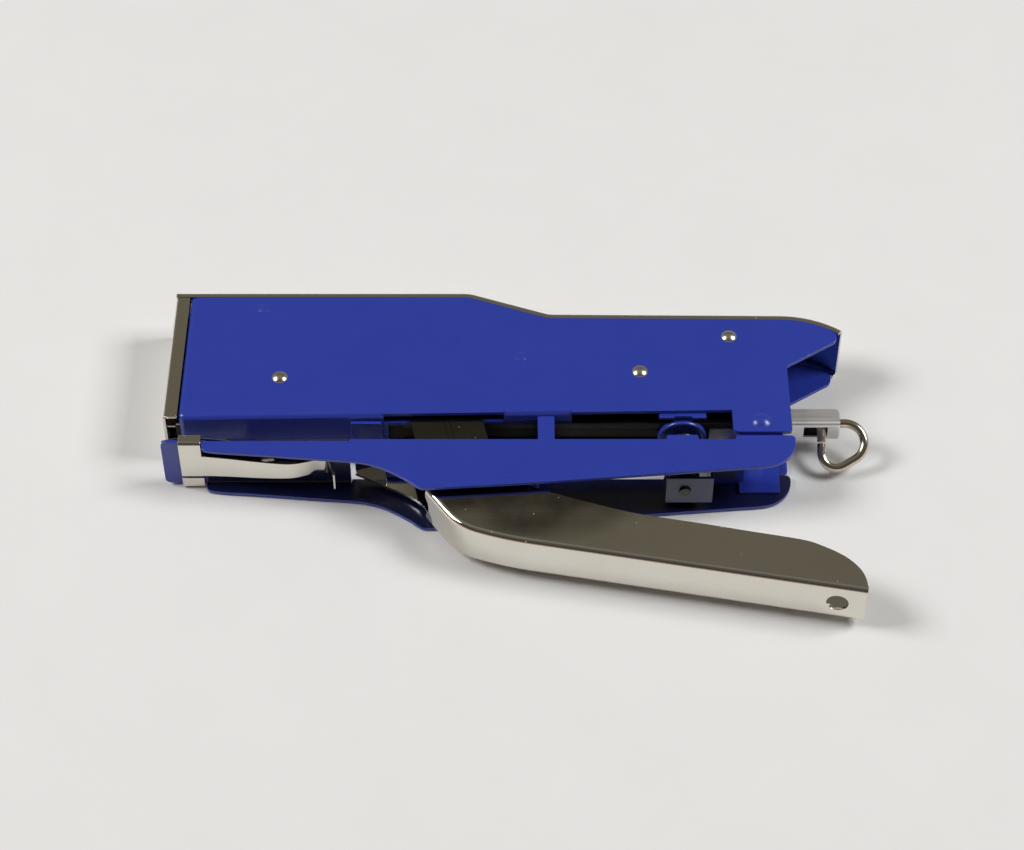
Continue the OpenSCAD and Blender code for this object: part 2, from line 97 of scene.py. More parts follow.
def connect(tree, socket, value):
    """Links an output socket to an input, or sets the input's value."""
    if isinstance(value, bpy.types.NodeSocket):
        tree.links.new(value, socket)
    else:
        socket.default_value = value


def rgba(c):
    """A colour with its alpha, from a tuple, a grey level or an output socket."""
    if isinstance(c, bpy.types.NodeSocket):
        return c
    return (*c, 1.0) if isinstance(c, tuple) else (c, c, c, 1.0)


def ramp(tree, fac, stops):
    """A colour ramp; stops are (position, colour or grey level)."""
    n = node(tree, "ShaderNodeValToRGB", {"Fac": fac})
    elements = n.color_ramp.elements
    while len(elements) > 1:
        elements.remove(elements[-1])
    elements[0].position = stops[0][0]
    elements[0].color = rgba(stops[0][1])
    for position, colour in stops[1:]:
        elements.new(position).color = rgba(colour)
    return n.outputs["Color"]


def mix(tree, fac, a, b, blend="MIX"):
    n = node(tree, "ShaderNodeMix", data_type="RGBA", blend_type=blend)
    for key, value in ((0, fac), (6, rgba(a)), (7, rgba(b))):
        connect(tree, n.inputs[key], value)
    return n.outputs[2]


def maths(tree, operation, *values):
    return node(tree, "ShaderNodeMath", dict(enumerate(values)), operation=operation).outputs[0]


def noise(tree, at, scale, detail=2.0, roughness=0.5):
    return node(tree, "ShaderNodeTexNoise",
                {"Vector": at, "Scale": scale, "Detail": detail, "Roughness": roughness}).outputs["Fac"]


def stretched(tree, at, scale):
    return node(tree, "ShaderNodeMapping", {"Vector": at, "Scale": scale}).outputs["Vector"]


def map_range(tree, value, low, high, to_low, to_high):
    return node(tree, "ShaderNodeMapRange",
                {0: value, 1: low, 2: high, 3: to_low, 4: to_high}).outputs[0]


def specks(tree, at, scale, size, share):
    """Small scattered dots: 1 on a dot, 0 elsewhere. share is the part of the cells that has one."""
    cells = node(tree, "ShaderNodeTexVoronoi", {"Vector": at, "Scale": scale, "Randomness": 1.0})
    near = ramp(tree, cells.outputs["Distance"], [(0.0, 1.0), (size, 0.6), (size * 1.5, 0.0)])
    pick = node(tree, "ShaderNodeSeparateColor", {"Color": cells.outputs["Color"]}).outputs[0]
    return maths(tree, "MULTIPLY", near, maths(tree, "GREATER_THAN", pick, 1.0 - share))


def bump(tree, height, strength, distance, normal=None):
    links = {"Height": height, "Strength": strength, "Distance": distance}
    if normal is not None:
        links["Normal"] = normal
    return node(tree, "ShaderNodeBump", links).outputs["Normal"]


def material(name):
    """A new material with its tree, its shader and object coordinates."""
    m = bpy.data.materials.new(name)
    m.use_nodes = True
    t = m.node_tree
    t.nodes.clear()
    out = node(t, "ShaderNodeOutputMaterial")
    shader = node(t, "ShaderNodeBsdfPrincipled")
    t.links.new(shader.outputs[0], out.inputs["Surface"])
    at = node(t, "ShaderNodeTexCoord").outputs["Object"]
    return m, t, shader, at


def join(tree, shader, **values):
    """Sets or links the shader's inputs; an underscore in a name stands for a space."""
    for key, value in values.items():
        connect(tree, shader.inputs[key.replace("_", " ")], value)


# ---- Materials ----

# Painted shade: the dark colour laid on the rail inside the body and on its inner faces
RAIL_SHADE = (0.03, 0.029, 0.027)
RAIL_SHADE_END_X = 144.5  # painted shade on the rail stops behind here
RAIL_INSIDE = 0.00235  # half the rail's inner width, in metres
RAIL_FLOOR_Y = 3.0


def paint(name, light, dark):
    """Glossy blue enamel: faint orange peel, a little dust and slight changes of tone."""
    m, t, s, at = material(name)
    tone = mix(t, noise(t, at, 55.0, 3.0), dark, light)
    dust = specks(t, at, 300.0, 0.02, 0.05)
    colour = mix(t, maths(t, "MULTIPLY", dust, 0.5), tone, (0.42, 0.46, 0.62))
    rough = map_range(t, noise(t, at, 160.0, 4.0, 0.6), 0.3, 0.7, 0.27, 0.37)
    peel = bump(t, noise(t, at, 1500.0, 2.0), 0.05, 0.00006)
    grain = bump(t, noise(t, at, 6000.0, 2.0), 0.04, 0.00003, peel)
    join(t, s, Base_Color=colour, Normal=grain,
         Roughness=maths(t, "ADD", rough, maths(t, "MULTIPLY", dust, 0.3)))
    join(t, s, Coat_Weight=0.35, Coat_Roughness=0.12, Specular_IOR_Level=0.5)
    return m


def plate(name, light, dark, rough, scratch, dusty, sway=0.3):
    """Polished nickel: slight haze, hairline scratches along the part and specks of dust."""
    m, t, s, at = material(name)
    tone = mix(t, noise(t, at, 90.0, 4.0), dark, light)
    dust = specks(t, at, 520.0, 0.06, dusty)
    colour = mix(t, maths(t, "MULTIPLY", dust, 0.7), tone, (0.80, 0.78, 0.72))
    haze = map_range(t, noise(t, at, 140.0, 5.0, 0.65), 0.3, 0.75, *rough)
    lines = noise(t, stretched(t, at, (60.0, 3000.0, 3000.0)), 1.0, 3.0, 0.6)
    fine = bump(t, lines, scratch, 0.00002)
    wavy = bump(t, noise(t, at, 38.0, 1.0), sway, 0.0006, fine)
    join(t, s, Base_Color=colour, Normal=wavy,
         Metallic=maths(t, "SUBTRACT", 1.0, maths(t, "MULTIPLY", dust, 0.6)),
         Roughness=maths(t, "ADD", haze, maths(t, "MULTIPLY", dust, 0.35)))
    return m


def paint_rail_shade(t, at, tone):
    """Painted shade: darkens the rail where it sits in the body at rest, and on its inner faces."""
    where = node(t, "ShaderNodeSeparateXYZ", {"Vector": at})
    shade_end = -100.0 * place(RAIL_SHADE_END_X, 0, 0).x
    outside = ramp(t, maths(t, "MULTIPLY_ADD", where.outputs["X"], 100.0, shade_end),
                   [(0.0, 0.0), (0.2, 1.0)])
    off_middle = maths(t, "SUBTRACT", where.outputs["Z"], HALF_WIDTH / 1000)
    between = maths(t, "LESS_THAN", maths(t, "ABSOLUTE", off_middle), RAIL_INSIDE)
    above = maths(t, "GREATER_THAN", where.outputs["Y"], place(0, RAIL_FLOOR_Y, 0).y)
    outer = maths(t, "SUBTRACT", 1.0, maths(t, "MULTIPLY", between, above))
    return mix(t, maths(t, "MULTIPLY", outside, outer), RAIL_SHADE, tone)


def brushed(name, light, dark, rough, grain, rail_shaded=False):
    """Brushed steel with its grain along X."""
    m, t, s, at = material(name)
    streak = noise(t, stretched(t, at, (40.0, 2600.0, 2600.0)), 1.0, 4.0, 0.7)
    fac = maths(t, "ADD", maths(t, "MULTIPLY", streak, 0.6),
                maths(t, "MULTIPLY", noise(t, at, 80.0), 0.4))
    tone = mix(t, fac, dark, light)
    # painted shade on the rail where it sits in the body and on its inner faces
    if rail_shaded:
        tone = paint_rail_shade(t, at, tone)
    join(t, s, Base_Color=tone, Metallic=1.0, Roughness=map_range(t, streak, 0.3, 0.7, *rough),
         Normal=bump(t, streak, grain, 0.00003))
    return m


# name: (maker, light tone, dark tone, and the maker's other settings)
FINISHES = {
    "blue_paint": (paint, (0.021, 0.043, 0.355), (0.018, 0.038, 0.325), {}),
    # Painted shade: a dark copy of the blue paint for a sheet's inner faces
    "inner_blue": (paint, (0.006, 0.009, 0.060), (0.004, 0.006, 0.035), {}),
    # Painted shade: a dark copy of the blue paint for the spring seat between arm and body
    "seat_blue": (paint, (0.020, 0.027, 0.110), (0.017, 0.023, 0.090), {}),
    "nickel_plate": (plate, (0.745, 0.715, 0.645), (0.69, 0.66, 0.59),
                     {"rough": (0.045, 0.12), "scratch": 0.10, "dusty": 0.10}),
    "handle_nickel": (plate, (0.755, 0.725, 0.655), (0.70, 0.67, 0.60),
                      {"rough": (0.03, 0.08), "scratch": 0.03, "dusty": 0.20, "sway": 0.28}),
    "rivet_nickel": (plate, (0.72, 0.69, 0.62), (0.62, 0.59, 0.52),
                     {"rough": (0.20, 0.30), "scratch": 0.2, "dusty": 0.05}),
    "ring_nickel": (plate, (0.70, 0.65, 0.55), (0.60, 0.55, 0.45),
                    {"rough": (0.10, 0.2), "scratch": 0.3, "dusty": 0.05}),
    # Painted shade: a dark copy of the nickel for the link plates in the gap between body and arm
    "link_nickel": (plate, (0.16, 0.15, 0.13), (0.10, 0.095, 0.08),
                    {"rough": (0.12, 0.22), "scratch": 0.2, "dusty": 0.25}),
    "satin_steel": (brushed, (0.62, 0.62, 0.61), (0.44, 0.44, 0.43),
                    {"rough": (0.26, 0.42), "grain": 0.25}),
    "spring_steel": (brushed, (0.10, 0.095, 0.09), (0.045, 0.045, 0.045),
                     {"rough": (0.3, 0.45), "grain": 0.2}),
    # the rail gets painted shade inside the body and on its inner faces
    "rail_steel": (brushed, (0.95, 0.95, 0.97), (0.78, 0.78, 0.80),
                   {"rough": (0.36, 0.50), "grain": 0.3, "rail_shaded": True}),
}
mats = {name: make(name, light, dark, **rest) for name, (make, light, dark, rest) in FINISHES.items()}

# CAD nodes that are seen with another finish than their slot's: painted shade on the rail, and darker
# copies as painted shade for the link plates and the spring seat
NODE_FINISH = {"staple_rail": "rail_steel", "link_plates": "link_nickel", "spring_seat": "seat_blue"}
slot_of = {row["node"]: row["material_slot"] for row in frame["record"]["subparts"]}

# ---- Mesh helpers: points are in the working frame, in mm ----

BEND = 6  # steps in a folded corner
SHARP = math.radians(45)
CAD_SHARP = math.radians(40)


class Net:
    """The points and faces of one piece."""

    def __init__(self):
        self.verts, self.faces = [], []

    def add(self, *points):
        first = len(self.verts)
        self.verts.extend(points)
        return list(range(first, first + len(points)))

    def face(self, *points):
        self.faces.append(self.add(*points))

    def cheeks(self, near):
        """A flat near cheek and its mirror image on the far side."""
        self.face(*near)
        self.face(*mirrored(near))

    def strips(self, rows, skip=()):
        """Open skin over rows of points; skip holds the (row, column) of faces left out."""
        for j, (p, q) in enumerate(zip(rows, rows[1:])):
            for i in range(len(p) - 1):
                if (j, i) not in skip:
                    self.face(p[i], p[i + 1], q[i + 1], q[i])

    def loft(self, rows):
        """Closed skin over rings of equal length, with a cap at each end."""
        ids = [self.add(*row) for row in rows]
        for p, q in zip(ids, ids[1:]):
            for i in range(len(p)):
                j = (i + 1) % len(p)
                self.faces.append([p[i], p[j], q[j], q[i]])
        self.faces.append(ids[0][::-1])
        self.faces.append(ids[-1])

    def prism(self, outline, low, high):
        """A closed block: an (x, y) outline between two v values."""
        self.loft([[(x, y, v) for x, y in outline] for v in (low, high)])

    def wing(self, outline, side, inner, outer):
        """A block on one side of the middle plane, between two distances from it."""
        self.prism(outline, *sorted((side * inner, side * outer)))

    def lathe(self, profile, centre, count):
        """Turns (radius, v) points round an axis along v through (x, y)."""
        self.loft([[(centre[0] + radius * math.cos(2 * math.pi * k / count),
                     centre[1] + radius * math.sin(2 * math.pi * k / count), v) for k in range(count)]
                   for radius, v in profile])

    def shank(self, at, radius, high, low, count):
        self.lathe([(NEAR_AXIS, high), (radius, high), (radius, low), (NEAR_AXIS, low)], at, count)

    def head(self, at, radius, height, collar=0.0):
        """A domed rivet head on the near shell's face."""
        ball = (radius * radius + height * height) / (2 * height)
        profile = [(NEAR_AXIS, HALF_WIDTH + height)]
        for k in range(1, 9):
            a = math.asin(radius / ball) * k / 8
            profile.append((ball * math.sin(a), HALF_WIDTH + height - ball + ball * math.cos(a)))
        if collar:
            profile.append((radius + collar, HALF_WIDTH + 0.03))
        profile += [(radius + collar, HALF_WIDTH - 0.1), (NEAR_AXIS, HALF_WIDTH - 0.1)]
        self.lathe(profile, at, 36)

    def wire(self, path, radius, sides=14):
        """A round wire along 3-D points."""
        pts = [Vector(p) for p in path]
        last = len(pts) - 1
        side = None
        rows = []
        for i, p in enumerate(pts):
            t = pts[min(i + 1, last)] - pts[max(i - 1, 0)]
            t.normalize()
            if side is None:
                side = t.orthogonal().normalized()
            side = (side - t * side.dot(t)).normalized()
            other = t.cross(side)
            turns = [2 * math.pi * k / sides for k in range(sides)]
            rows.append([tuple(p + (side * math.cos(a) + other * math.sin(a)) * radius) for a in turns])
        self.loft(rows)

    def coil(self, start, end, radius, thick, turns, across):
        """A helix with closed end turns; across is a unit vector at a right angle to the axis."""
        a, b, u = Vector(start), Vector(end), Vector(across)
        axis = b - a
        w = axis.normalized().cross(u)
        count = int(turns * 20)
        path = []
        for k in range(count + 1):
            t = k / count
            ease = min(max((t - 0.06) / 0.88, 0), 1)
            ang = 2 * math.pi * turns * t
            path.append(tuple(a + axis * ease + (u * math.cos(ang) + w * math.sin(ang)) * radius))
        self.wire(path, thick, 8)


def finish_mesh(name, body, slot, net, replaced=(), sheet=0.0, edge=0.12, side=0, inside=None):
    """Makes a piece from a net.

    sheet is a thickness grown inward, edge the width of its rounded edges. side is 1 or -1 where
    the biggest flat face on that side of the middle plane must look outward. inside names the
    material of a sheet's inner faces, a darker paint that stands in as painted shade.
    """
    mesh = bpy.data.meshes.new(name)
    bm = bmesh.new()
    made = [bm.verts.new(place(*p)) for p in net.verts]
    bm.verts.ensure_lookup_table()
    for f in net.faces:
        bm.faces.new([made[i] for i in f])
    bmesh.ops.remove_doubles(bm, verts=bm.verts[:], dist=0.000004)
    bmesh.ops.recalc_face_normals(bm, faces=bm.faces[:])
    bm.normal_update()
    if side:
        flat = [f for f in bm.faces if abs(f.normal.z) > 0.9
                and side * (f.calc_center_median().z - HALF_WIDTH / 1000) > 0]
        if max(flat, key=lambda f: f.calc_area()).normal.z * side < 0:
            bmesh.ops.reverse_faces(bm, faces=bm.faces[:])
    bm.to_mesh(mesh)
    bm.free()
    smooth(mesh)
    obj = bpy.data.objects.new(name, mesh)
    scene.collection.objects.link(obj)
    mesh.materials.append(mats[slot])
    if sheet:
        solid = obj.modifiers.new("sheet", "SOLIDIFY")
        solid.thickness = sheet / 1000
        solid.offset = -1.0
        solid.use_even_offset = True
        # the inner faces take the dark paint as painted shade
        if inside:
            mesh.materials.append(mats[inside])
            solid.material_offset = 1
    if edge:
        round_edges(obj, edge, SHARP)
    weighted = obj.modifiers.new("shading", "WEIGHTED_NORMAL")
    weighted.keep_sharp = False
    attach(obj, body)
    if replaced:
        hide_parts(*replaced)


def smooth(mesh):
    mesh.polygons.foreach_set("use_smooth", [True] * len(mesh.polygons))


def round_edges(obj, width, sharp):
    """A small bevel, width in mm, on edges that turn by more than sharp."""
    edge = obj.modifiers.new("edge", "BEVEL")
    edge.width = width / 1000
    edge.segments = 2
    edge.limit_method = "ANGLE"
    edge.angle_limit = sharp
    return edge


def travel(line, at, heading, step=3.0):
    """Points (x, y, heading) along runs [length] and bends [radius, turn]."""
    points = [(*at, heading)]
    for part in line:
        x, y, h = points[-1]
        a = math.radians(h)
        if len(part) == 1:
            points.append((x + part[0] * math.cos(a), y + part[0] * math.sin(a), h))
            continue
        radius, turn = part
        side = 1 if turn > 0 else -1
        mx, my = x - radius * side * math.sin(a), y + radius * side * math.cos(a)
        count = max(2, math.ceil(abs(turn) / step))
        for k in range(1, count + 1):
            hk = h + turn * k / count
            b = math.radians(hk)
            points.append((mx + radius * side * math.sin(b), my - radius * side * math.cos(b), hk))
    return points


def inset(point, depth):
    """The place at depth to the right of a travelled point."""
    x, y, h = point
    return (x + depth * math.sin(math.radians(h)), y - depth * math.cos(math.radians(h)))


def round_points(cx, cy, radius, start, stop, count=8):
    """Points on an arc, with its angles in degrees."""
    turns = [math.radians(start + (stop - start) * k / count) for k in range(count + 1)]
    return [(cx + radius * math.cos(a), cy + radius * math.sin(a)) for a in turns]


def curve_through(points, per=4):
    """A smooth open curve (Catmull-Rom) through 2-D or 3-D points."""
    out = []
    ends = [points[0], *points, points[-1]]
    for i in range(1, len(ends) - 2):
        a, b, c, d = (Vector(ends[i + j]) for j in (-1, 0, 1, 2))
        for k in range(per):
            t = k / per
            out.append(tuple(0.5 * ((2 * b) + (c - a) * t + (2 * a - 5 * b + 4 * c - d) * t * t +
                                    (3 * b - a - 3 * c + d) * t ** 3)))
    out.append(tuple(points[-1]))
    return out


def fold_rows(chain, w, r):
    """Rows of points round a bend of radius r, from the cheek at v = w to the web at v = w - r.

    chain holds (x, y, nx, ny): a point on the web and the web's direction away from the cheek.
    """
    turns = [math.pi / 2 * k / BEND for k in range(BEND + 1)]
    return [[(x + nx * (r - r * math.sin(a)), y + ny * (r - r * math.sin(a)), w - r + r * math.cos(a))
             for a in turns] for x, y, nx, ny in chain]


def mirrored(row):
    return [(x, y, -v) for x, y, v in reversed(row)]


# ---- Handle: a folded channel with a notch in front and a lanyard hole at the back ----

GRIP_W, GRIP_R, GRIP_T = 5.5, 1.3, 0.8
NOTCH_R, NOTCH_BACK, NOTCH_TURN = 4.2, 3.0, 44.4
HOLE_R, HOLE_RUN = 2.5, 8.0
WEB_V = GRIP_W - GRIP_R

grip = travel([[2.5], [5.5], [15, 35], [80, 9.4], [65.2], [HOLE_RUN], [2.3]], (61.7, -19.9), -55, 2.5)
grip_chain = [(x, y, -math.sin(math.radians(h)), math.cos(math.radians(h))) for x, y, h in grip]
grip_rows = [row + mirrored(row) for row in fold_rows(grip_chain, GRIP_W, GRIP_R)]
hole_row = len(grip_rows) - 3


def on_web(j, along, v):
    x, y, h = grip[j]
    return (x + along * math.cos(math.radians(h)), y + along * math.sin(math.radians(h)), v)


net = Net()
net.strips(grip_rows, skip={(0, BEND), (hole_row, BEND)})
notch = [on_web(0, along, v)
         for along, v in round_points(-NOTCH_BACK, 0, NOTCH_R, NOTCH_TURN, -NOTCH_TURN, 10)]
net.face(on_web(0, 0, WEB_V), *notch, on_web(0, 0, -WEB_V), on_web(1, 0, -WEB_V), on_web(1, 0, WEB_V))
corners = [on_web(hole_row, along, v)
           for along, v in ((0.0, WEB_V), (HOLE_RUN, WEB_V), (HOLE_RUN, -WEB_V), (0.0, -WEB_V))]
for k in range(4):
    quarter = [on_web(hole_row, along, v)
               for along, v in round_points(HOLE_RUN / 2, 0, HOLE_R, 135 - 90 * k, 45 - 90 * k)]
    net.face(corners[k], corners[(k + 1) % 4], *quarter[::-1])
top_edge = curve_through([
    (160.41, -47.37), (160.2, -45.4), (159.07, -42.58), (156.03, -39.17), (150.71, -35.9),
    (146.35, -34.3), (135.0, -31.95), (124.08, -29.65), (110.61, -27.01), (101.61, -24.36),
    (92.55, -21.3), (88.0, -19.6), (85.6, -18.4)])
tongue_under = curve_through([
    (47.4, -7.5), (52.7, -10.4), (56.8, -12.6), (60.2, -15.2), (62.0, -18.0)], 3)
neck = (top_edge + [(84.9, -17.6), (85.4, -16.9)] + round_points(*HANDLE_PIVOT, 4.4, -75, 95, 14) +
        [(72, -7.9), (58, -6.3), (44.8, -5.0), (44.8, -6.2)] + tongue_under)
net.cheeks([row[0] for row in grip_rows] + [(x, y, GRIP_W) for x, y in neck])
finish_mesh("handle_shell", "handle", "handle_nickel", net, ["handle"], sheet=GRIP_T, edge=0.16, side=1)

net = Net()
net.prism([(44.85, -5.05), (52, -5.65), (52, -6.4), (44.85, -5.8)], 0.1 - GRIP_W, GRIP_W - 0.1)
finish_mesh("handle_bridge", "handle", "nickel_plate", net, edge=0.1)

# ---- Side shells ----

SHELL_R, SHELL_T = 1.4, 0.9
SHELL_FRONT = 3.5
RISE = math.radians(1.127)  # slope of the body's lower edge
COVER_DEPTH = 1.8  # the cover's top stands this far above a shell
FLANGE_FRONT, FLANGE_SEAM, FLANGE_BACK = 5.9, 0.05, 4.3  # where the flanges end, in v
FOOT_R, TAIL_R = 1.6, 2.6
cover_line = travel([[69.9], [8, -20], [18.1], [6, 19.5], [54.6], [25, -31]], (0, COVER_Y), 0)
shell_top = [inset(point, COVER_DEPTH) for point in cover_line]


def bottom_at(x):
    return (x - SHELL_FRONT) * math.tan(RISE)


def shell_flanges():
    """The two folded edges: (x, y, nx, ny) along each, with the v where its flange ends."""
    cx, cy = SHELL_FRONT + FOOT_R, bottom_at(5.1) + FOOT_R
    first = [(SHELL_FRONT, y, 1, 0, FLANGE_FRONT) for y in (39.0, 20.0, cy)]
    for k, (x, y) in enumerate(round_points(cx, cy, FOOT_R, 180, 270, 6)[1:]):
        end = FLANGE_FRONT if k < 2 else FLANGE_SEAM
        first.append((x, y, (cx - x) / FOOT_R, (cy - y) / FOOT_R, end))
    up = (-math.sin(RISE), math.cos(RISE))
    first.append((51.6, bottom_at(51.6), *up, FLANGE_SEAM))
    return first, [(x, bottom_at(x), *up, FLANGE_BACK) for x in (79.7, 95.6)]


def side_shell(name, s, replaced):
    """s is 1 for the near shell and -1 for the far one."""
    net = Net()
    ends = []
    for chain in shell_flanges():
        rows = fold_rows([c[:4] for c in chain], HALF_WIDTH, SHELL_R)
        rows = [row + [(c[0], c[1], c[4])] for row, c in zip(rows, chain)]
        net.strips([[(x, y, s * v) for x, y, v in row] for row in rows])
        ends.append([row[0][:2] for row in rows])
    tail = inset(cover_line[-1], COVER_DEPTH + TAIL_R)
    outline = ends[0] + [(51.6, bottom_at(51.6) + 0.3), (79.7, bottom_at(79.7) + 0.3)] + ends[1]
    outline += [(95.6, bottom_at(95.6)), (133.0, bottom_at(133.0))]
    outline += round_points(134.5, -2.7, 1.5, 180, 270, 6) + round_points(145.9, -3.4, 0.8, -90, 0, 4)
    outline += [(146.8, 16.5)] + round_points(*tail, TAIL_R, -57, 58.5, 12)
    outline += shell_top[-2:0:-1] + [(5.1, 39.2)]
    net.face(*[(x, y, s * HALF_WIDTH) for x, y in outline])
    finish_mesh(name, "body", "blue_paint", net, replaced, sheet=SHELL_T, edge=0.14, side=s)

    net = Net()
    lip = [(51.2, 0.05), (52.6, 0.05), (52.6, 4.3), (95.6, 4.3), (95.6, 5.2), (51.2, 5.2)]
    net.loft([[(x, bottom_at(x) + lift, s * v) for x, v in lip] for lift in (0, SHELL_T)])
    y = bottom_at(91.5) + 0.5
    net.wing([(87.6, -7.5), (91.5, -7.5), (91.5, y), (87.6, y)], s, 5.85, 6.6)
    if s > 0:
        # The tab that laps the seam
        y = bottom_at(43.9)
        net.prism([(43.9, y - 0.9), (51.1, y - 0.9), (51.1, y - 0.08), (43.9, y - 0.08)], -4.2, 6.0)
    finish_mesh(name + "_lip", "body", "blue_paint", net)


side_shell("left_shell", 1, ["left_side_shell"])
side_shell("right_shell", -1, ["right_side_shell"])

# ---- Lower arm ----

ARM_W, ARM_R, ARM_T = 7.6, 1.2, 0.85
ARM_WEB_Y = -6.2
arm_rows = [row + mirrored(row)
            for row in fold_rows([(x, ARM_WEB_Y, 0, -1) for x in (10.0, 27.0, 43.8)], ARM_W, ARM_R)]
arm_edge = curve_through([
    (10.55, -9.7), (13.3, -10.2), (18.5, -10.63), (23.6, -11.06), (30.5, -11.7), (37, -12.3),
    (44.4, -12.95), (48.0, -13.6), (52.0, -15.1), (56.7, -18.0), (60.2, -20.7), (62.3, -21.1),
    (68, -20.7), (85.0, -19.5), (110.9, -17.2), (133.9, -15.1), (140.3, -14.5),
    (143.4, -13.5), (145.4, -11.9), (146.6, -9.8), (147.15, -7.8), (147.25, -6.0)])
arm_outline = [
    (44.0, ARM_WEB_Y), (117.3, ARM_WEB_Y), (117.6, -4.9), (124.6, -4.9), (124.9, ARM_WEB_Y),
    (133.3, ARM_WEB_Y), (133.6, -5.0), (146.5, -5.05), (147.1, -5.5)] + arm_edge[::-1] + [(10.0, -9.1)]
net = Net()
net.strips(arm_rows)
net.cheeks([row[0] for row in arm_rows] + [(x, y, ARM_W) for x, y in arm_outline])
# the channel's inner faces are painted dark as shade
finish_mesh("arm_channel", "arm", "blue_paint", net, ["lower_arm"], sheet=ARM_T, edge=0.14, side=1,
            inside="inner_blue")

net = Net()
nose = [(10.6, 7.2)] + round_points(1.7, 5.6, 1.6, 90, 180, 6)
nose += [(x, -v) for x, v in reversed(nose)]
net.loft([[(x, y, v) for x, v in nose] for y in (ARM_WEB_Y, ARM_WEB_Y - ARM_T)])
net.prism([(128.2, -7.7), (136, -7.7), (136, -6.95), (128.2, -6.95)], -6.8, 6.8)
ear = round_points(*ARM_PIVOT, 5.2, -20, 200, 20) + [(134.8, -10.9), (144.4, -10.9)]
for s in (-1, 1):
    net.wing(ear, s, 5.95, 6.75)
finish_mesh("arm_web_parts", "arm", "blue_paint", net)

# ---- Anvil clip: a plate on the nose, a strap round the arm and a leaf for the finger ----

PLATE_HALF, PLATE_T = 6.2, 0.4
STRAP_W, STRAP_R, STRAP_H, STRAP_TOP = 7.8, 1.0, 3.5, -4.6
STRAP_SEAM = (-4.2, -3.6)
net = Net()
flat = PLATE_HALF - 0.2
net.loft([[(x, y, -flat), (x, y - PLATE_T / 2, -PLATE_HALF), (x, y - PLATE_T, -flat),
           (x, y - PLATE_T, flat), (x, y - PLATE_T / 2, PLATE_HALF), (x, y, flat)]
          for x, y in curve_through([(0.15, -5.35), (1.8, -4.95), (4.0, -4.62), (9.6, -4.62),
                                     (12.5, -4.8), (15.5, -5.25), (18.6, -5.7)], 3)])
finish_mesh("anvil_plate", "anvil", "nickel_plate", net, ["anvil_clip"], edge=0.08)

# The strap's section as (y, v): its near corners, the same mirrored, and a seam underneath
near = (round_points(STRAP_TOP - STRAP_R, STRAP_W - STRAP_R, STRAP_R, 0, 90, 6) +
        round_points(STRAP_TOP - STRAP_H + STRAP_R, STRAP_W - STRAP_R, STRAP_R, 90, 180, 6))
under = STRAP_TOP - STRAP_H
section = ([(under, STRAP_SEAM[0])] + [(y, -v) for y, v in reversed(near)] + near +
           [(under, STRAP_SEAM[1])])
net = Net()
net.strips([[(x, y, v) for y, v in section] for x in (4.3, 6.9, 9.5)])
finish_mesh("anvil_strap", "anvil", "nickel_plate", net, sheet=0.5, edge=0.1, side=1)

LEAF_HALF_T = 0.22
leaf_line = curve_through([
    (8.6, -7.85), (12.5, -8.1), (16.6, -8.45), (23, -9.1), (29.6, -9.45), (33.4, -8.7),
    (36.4, -7.75), (38.1, -7.7), (39.2, -8.7), (39.9, -10.8), (40.4, -12.9)], 5)
rows = []
for i, (x, y) in enumerate(leaf_line):
    before, after = leaf_line[max(i - 1, 0)], leaf_line[min(i + 1, len(leaf_line) - 1)]
    a = math.atan2(after[1] - before[1], after[0] - before[0])
    nx, ny = -math.sin(a) * LEAF_HALF_T, math.cos(a) * LEAF_HALF_T
    # The leaf narrows towards its tip, and the turned-down tip is a little wider again
    half = 3.5 - 1.3 * min(max((x - 10) / 28, 0), 1) + 0.25 * min(max((x - 36.5) / 2, 0), 1)
    rows.append([(x + nx, y + ny, 0.1 - half), (x, y, -half), (x - nx, y - ny, 0.1 - half),
                 (x - nx, y - ny, half - 0.1), (x, y, half), (x + nx, y + ny, half - 0.1)])
net = Net()
net.loft(rows)
finish_mesh("anvil_leaf", "anvil", "nickel_plate", net, edge=0.05)

# ---- Pull ring: a bent wire whose ends meet in a butt joint ----

LEAN = math.radians(33)
RING_X, RING_Y = 156.2, 2.8
wire_line = travel([[3.903], [4.6, -150], [3.1215], [3.4, -120], [2.35]], (0, 0), 0, 6.0)
rest_line = travel([[1.6, 90], [2.9]], (0, 0), 180, 8.0)


def leaned(x, y):
    y += 1.9
    return (RING_X + x, RING_Y + y * math.cos(LEAN), y * math.sin(LEAN))


net = Net()
net.wire([leaned(x, y) for x, y, h in rest_line[::-1] + wire_line[1:]], 1.08)
finish_mesh("pull_ring_wire", "ring", "ring_nickel", net, ["pull_ring"])

# ---- Rivets and the handle's pin ----

FLUSH = 7.85  # a shank's end, just inside a shell's outer face
net = Net()
for at in ((26.7, 13.0), (111.9, 14.9), (133.6, 26.3)):
    net.head(at, 1.95, 0.85)
    net.shank(at, 1.28, FLUSH, -FLUSH, 24)
finish_mesh("rivet_heads", "body", "rivet_nickel", net, ["body_rivets"], edge=0)

net = Net()
for at in ((21.5, 35.7), (83.7, 19.75)):
    net.head(at, 1.45, 0.30, collar=0.12)
    net.shank(at, 0.9, -6.1, -FLUSH, 20)
finish_mesh("cover_rivet_heads", "body", "blue_paint", net, ["painted_rivets"], edge=0)

net = Net()
net.head(ARM_PIVOT, 2.3, 0.88, collar=0.12)
net.shank(ARM_PIVOT, 1.28, FLUSH, -FLUSH, 24)
finish_mesh("pivot_rivet_head", "body", "blue_paint", net, ["pivot_rivet"], edge=0)

net = Net()
net.shank(HANDLE_PIVOT, 1.74, 6.7, -6.7, 28)
finish_mesh("handle_pivot_pin", "arm", "blue_paint", net, ["handle_pin"], edge=0)

# ---- Coil springs ----

